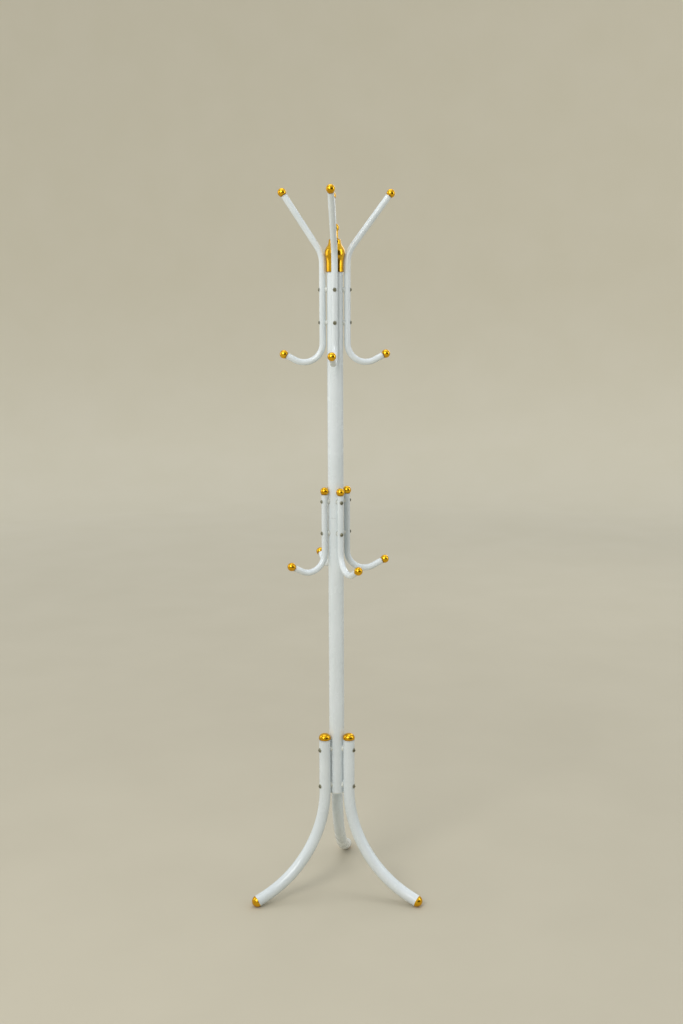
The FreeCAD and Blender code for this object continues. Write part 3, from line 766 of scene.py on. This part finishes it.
def studio_paper():
    """Plain pale studio paper with a faint mottle; it gets lighter away from the middle of the floor."""
    m = Finish("studio_paper")
    rise = m.span(m.closest([(0.0, 0.0, 0.0)]), PAPER_RANGE)
    mottle = m.noise(3.0, 4.0)
    floor = m.tones(mottle, FLOOR_LOW, FLOOR_HIGH)
    wall = m.tones(mottle, WALL_LOW, WALL_HIGH)
    tone = m.mix(rise, floor, wall)
    m.feed(tone, "Base Color")
    m.feed(tone, "Emission Color")
    m.feed(m.times(rise, PAPER_GLOW), "Emission Strength")
    m.set("Roughness", 0.9)
    m.set("Specular IOR Level", 0.2)
    return m.material


def circle(radius, height):
    """Points spaced evenly round the Z axis."""
    angles = [math.tau * step / ROUND for step in range(ROUND)]
    return [(radius * math.cos(angle), radius * math.sin(angle), height) for angle in angles]


def stage_piece(name, corners, faces, material):
    """A smooth piece of the studio, which isn't part of the object."""
    mesh = bpy.data.meshes.new(name)
    mesh.from_pydata(corners, [], faces)
    mesh.polygons.foreach_set("use_smooth", [True] * len(faces))
    thing = bpy.data.objects.new(name, mesh)
    thing.data.materials.append(material)
    bpy.context.scene.collection.objects.link(thing)
    return thing


def add_wall(material):
    """A round wall that bends up out of the floor. It is seen, but it neither lights nor shades."""
    line = []
    for step in range(BEND_STEPS + 1):
        lean = math.radians(90.0 * step / BEND_STEPS)
        line.append((FLOOR_RADIUS + WALL_BEND * math.sin(lean), WALL_BEND * (1.0 - math.cos(lean))))
    line.append((FLOOR_RADIUS + WALL_BEND, WALL_HEIGHT))
    corners = [corner for radius, height in line for corner in circle(radius, height)]
    faces = []
    for low in range(0, ROUND * (len(line) - 1), ROUND):
        high = low + ROUND
        for step in range(ROUND):
            after = (step + 1) % ROUND
            faces.append((low + step, high + step, high + after, low + after))
    wall = stage_piece("studio_wall", corners, faces, material)
    wall.visible_diffuse = False
    wall.visible_glossy = False
    wall.visible_shadow = False


paper = studio_paper()
stage_piece("studio_floor", circle(FLOOR_RADIUS, 0.0), [tuple(range(ROUND))], paper)
add_wall(paper)

# Light ----------------------------------------------------------------------------------------------

KEY_TINT = (1.0, 0.985, 0.96)
COOL_TINT = (0.98, 0.99, 1.0)
RIGHT_TINT = (0.92, 0.97, 1.0)
REAR_TINT = (1.0, 0.99, 0.97)

SKY_HORIZON = (0.62, 0.61, 0.57, 1.0)
SKY_TOP = (0.82, 0.85, 0.88, 1.0)
SKY_STRENGTH = 0.88

# A dark card: its direction, the cosines from it where it starts and is full, and what light it lets by.
CARD_WAY = (0.64, -0.76, -0.05)
CARD_RANGE = (0.74, 0.92)
CARD_LEVEL = 0.12


def area_light(name, place, aim_height, size, watts, tint):
    """A rectangular softbox that faces a point on the pole's axis."""
    data = bpy.data.lights.new(name, "AREA")
    data.shape = "RECTANGLE"
    data.size, data.size_y = size
    data.energy = watts
    data.color = tint
    light = bpy.data.objects.new(name, data)
    light.location = place
    aim = Vector((0.0, 0.0, aim_height)) - Vector(place)
    light.rotation_euler = aim.to_track_quat("-Z", "Y").to_euler()
    bpy.context.scene.collection.objects.link(light)


def studio_world():
    """Soft bright surroundings with one dark card, forward and to the right, that shapes the gold."""
    world = bpy.data.worlds.new("studio")
    world.use_nodes = True
    w = Nodes(world.node_tree, "Generated")
    sky = w.tones(w.height(), SKY_HORIZON, SKY_TOP, (0.0, 1.0))
    card = w.span(w.dot(w.place, Vector(CARD_WAY).normalized()), CARD_RANGE, (1.0, CARD_LEVEL))
    background = w.tree.nodes["Background"]
    w.join(w.mix(1.0, sky, card, "MULTIPLY"), background.inputs["Color"])
    background.inputs["Strength"].default_value = SKY_STRENGTH
    bpy.context.scene.world = world


area_light("key_softbox", (-1.6, -2.9, 3.0), 1.4, (1.6, 1.8), 66.0, KEY_TINT)
area_light("left_softbox", (-3.0, 0.5, 2.1), 1.3, (1.4, 2.4), 11.0, COOL_TINT)
area_light("right_softbox", (3.0, -0.5, 2.2), 1.2, (1.2, 2.4), 17.0, RIGHT_TINT)
area_light("top_softbox", (-0.3, 0.5, 4.2), 0.0, (2.6, 2.6), 24.0, COOL_TINT)
area_light("rear_softbox", (1.6, 3.2, 2.6), 0.95, (1.0, 2.4), 12.0, REAR_TINT)
studio_world()
bpy.context.scene.view_settings.view_transform = "Standard"
